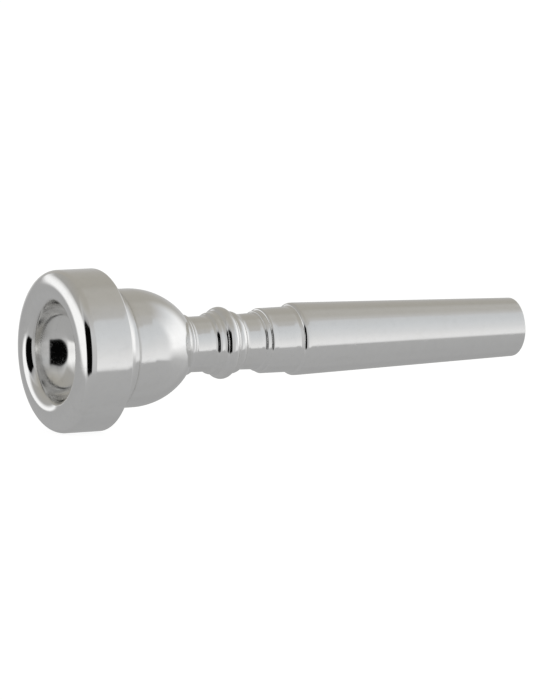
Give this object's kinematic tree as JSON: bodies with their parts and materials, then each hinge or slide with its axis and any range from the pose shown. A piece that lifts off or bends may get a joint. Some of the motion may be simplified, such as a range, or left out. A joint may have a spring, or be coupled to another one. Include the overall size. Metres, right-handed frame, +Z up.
{
  "type": "trumpet mouthpiece",
  "caption": "Silver-plated brass trumpet mouthpiece with a rounded rim, a cup, a beaded neck and a tapered shank, which unscrews into rim, cup and backbore.",
  "frame": {"origin": "centre of the rim's crest plane, where the lips rest", "axes": "+X along the mouthpiece's axis from the rim to the small end of the shank, +Z up"},
  "size_m": [0.0876, 0.0264, 0.0262],
  "materials": {
    "rim_silver": "silver plated, polished, light wear on the crest",
    "cup_silver": "silver plated, polished",
    "backbore_silver": "silver plated, polished, fine insertion marks on the shank"
  },
  "bodies": {
    "backbore": {"backbore": "backbore_silver"},
    "cup": {"cup": "cup_silver"},
    "rim": {"rim": "rim_silver"}
  },
  "joints": [
    {"name": "cup_unscrew", "type": "slide", "parent": "backbore", "child": "cup", "axis": [-1, 0, 0], "range_m": [0, 0.012]},
    {"name": "rim_unscrew", "type": "slide", "parent": "cup", "child": "rim", "axis": [-1, 0, 0], "range_m": [0, 0.012]}
  ]
}
